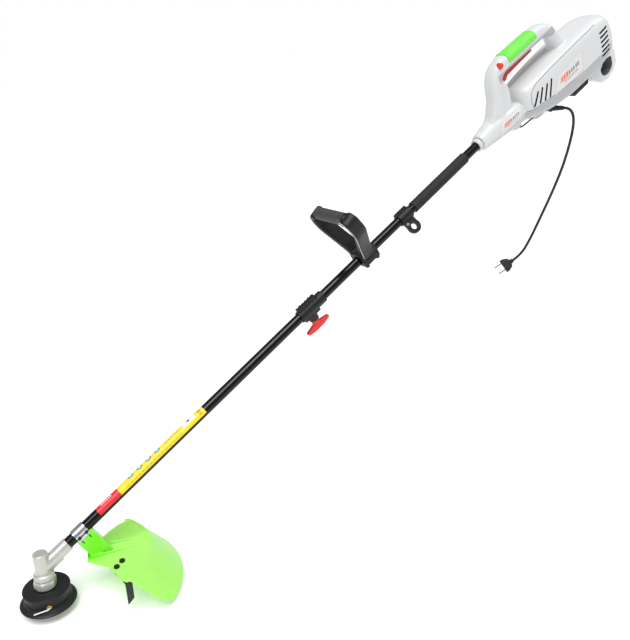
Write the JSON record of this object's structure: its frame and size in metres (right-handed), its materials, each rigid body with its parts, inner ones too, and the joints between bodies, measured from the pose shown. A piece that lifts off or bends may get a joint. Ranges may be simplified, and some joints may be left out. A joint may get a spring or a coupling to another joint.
{
  "type": "electric string trimmer",
  "caption": "Corded string trimmer: angled shaft with line head and guard below, loop and rear handles, strap eyelet, motor housing and mains cord",
  "frame": {"origin": "centre of the carrying-strap eyelet on the upper tube", "axes": "+X up and along the shaft seen from above, from the cutting head to the motor; +Z up in the working posture, parallel to the head axis; -Y the machine's left side"},
  "size_m": [1.5488, 0.2049, 0.9386],
  "materials": {
    "cast_metal": "sand-cast, matt",
    "bright_steel": "bright plated",
    "steel": "machined",
    "black_plastic": "moulded, light grain",
    "dark_metal": "black powder coat",
    "lime_plastic": "moulded, satin",
    "pale_plastic": "moulded, satin",
    "red_plastic": "moulded, satin",
    "brass": "turned",
    "foam": "ribbed foam",
    "grip_rubber": "ribbed",
    "line": "drawn nylon",
    "label": "printed film",
    "plate_label": "printed film",
    "winding": "copper wire and steel plates",
    "carbon": "pressed carbon",
    "cord_rubber": "smooth sheath",
    "steel_blade": "rolled"
  },
  "bodies": {
    "lower_unit": {"gear_case": "cast_metal", "gear_case_cap": "cast_metal", "gear_bearings": "steel", "guard": "lime_plastic", "guard_clamp": "bright_steel", "guard_fasteners": "steel", "cutter_blade": "steel_blade", "lower_tube": "dark_metal", "tube_label": "label", "lower_bushes": "black_plastic"},
    "lower_drive": {"lower_drive_shaft": "steel", "pinion_gear": "steel"},
    "cutting_head": {"output_gear": "steel", "output_shaft": "steel", "adapter_collar": "bright_steel", "spool_housing": "black_plastic", "spool_cover": "black_plastic", "line_end": "line", "line_eyelets": "brass"},
    "spool": {"line_spool": "black_plastic", "line_coil": "line", "bump_knob": "black_plastic", "bump_spring": "steel"},
    "wing_knob": {"wing_knob": "red_plastic"},
    "front_handle": {"front_handle": "black_plastic", "front_handle_clamp": "black_plastic", "front_handle_grip": "grip_rubber", "front_handle_bolts": "steel"},
    "motor": {"upper_drive_shaft": "steel", "drive_coupling": "steel", "motor_armature": "winding", "motor_fan": "black_plastic", "motor_coupling": "steel"},
    "trigger": {"trigger": "red_plastic"},
    "lockout": {"lockout_button": "red_plastic"},
    "handle_unit": {"upper_tube": "dark_metal", "upper_bushes": "black_plastic", "coupler_body": "black_plastic", "coupler_bolts": "steel", "strap_hanger": "black_plastic", "strap_screw": "steel", "shaft_grip": "foam", "neck_collar": "pale_plastic", "housing_left": "pale_plastic", "housing_right": "pale_plastic", "grip_insert": "lime_plastic", "label_plate": "plate_label", "housing_screws": "steel", "rear_skid": "pale_plastic", "base_pad": "black_plastic", "cord_hook": "black_plastic", "trigger_pin": "steel", "switch_body": "black_plastic", "motor_stator": "winding", "motor_bearings": "steel", "carbon_brushes": "carbon", "strain_relief": "cord_rubber", "power_cord": "cord_rubber", "plug_body": "cord_rubber", "plug_pins": "bright_steel"}
  },
  "joints": [
    {"name": "coupler_slide", "type": "slide", "parent": "handle_unit", "child": "lower_unit", "axis": [-0.866, 0, -0.5], "range_m": [0, 0.034]},
    {"name": "handle_slide", "type": "slide", "parent": "handle_unit", "child": "front_handle", "axis": [0.866, 0, 0.5], "range_m": [-0.1, 0.06]},
    {"name": "wing_knob_turn", "type": "hinge", "parent": "handle_unit", "child": "wing_knob", "pos_m": [-0.24367, 0.01725, -0.15995], "axis": [-0.5, 0, 0.866], "range_deg": [0, 450]},
    {"name": "motor_spin", "type": "hinge", "parent": "handle_unit", "child": "motor", "pos_m": [0.42136, 0.01725, 0.27019], "axis": [0.866, 0, 0.5], "continuous": true},
    {"name": "drive_spin", "type": "hinge", "parent": "lower_unit", "child": "lower_drive", "pos_m": [-0.74778, 0.01725, -0.40481], "axis": [0.866, 0, 0.5], "continuous": true},
    {"name": "head_spin", "type": "hinge", "parent": "lower_unit", "child": "cutting_head", "pos_m": [-0.83438, 0.01725, -0.49481], "axis": [0, 0, 1], "continuous": true},
    {"name": "bump_slide", "type": "slide", "parent": "cutting_head", "child": "spool", "axis": [0, 0, 1], "range_m": [0, 0.005], "stiffness_N_per_m": 900, "springref_m": -0.003, "deforming": ["bump_spring"]},
    {"name": "trigger_squeeze", "type": "hinge", "parent": "handle_unit", "child": "trigger", "pos_m": [0.34984, 0.01725, 0.34206], "axis": [0, 1, 0], "range_deg": [0, 3.5], "stiffness_Nm_per_rad": 1.2, "springref_deg": -8.59},
    {"name": "lockout_push", "type": "slide", "parent": "handle_unit", "child": "lockout", "axis": [0, 1, 0], "range_m": [0, 0.003], "stiffness_N_per_m": 500, "springref_m": -0.002}
  ],
  "couplings": [
    {"joint": "drive_spin", "follows": "motor_spin", "ratio": 1},
    {"joint": "head_spin", "follows": "motor_spin", "ratio": -0.6}
  ]
}
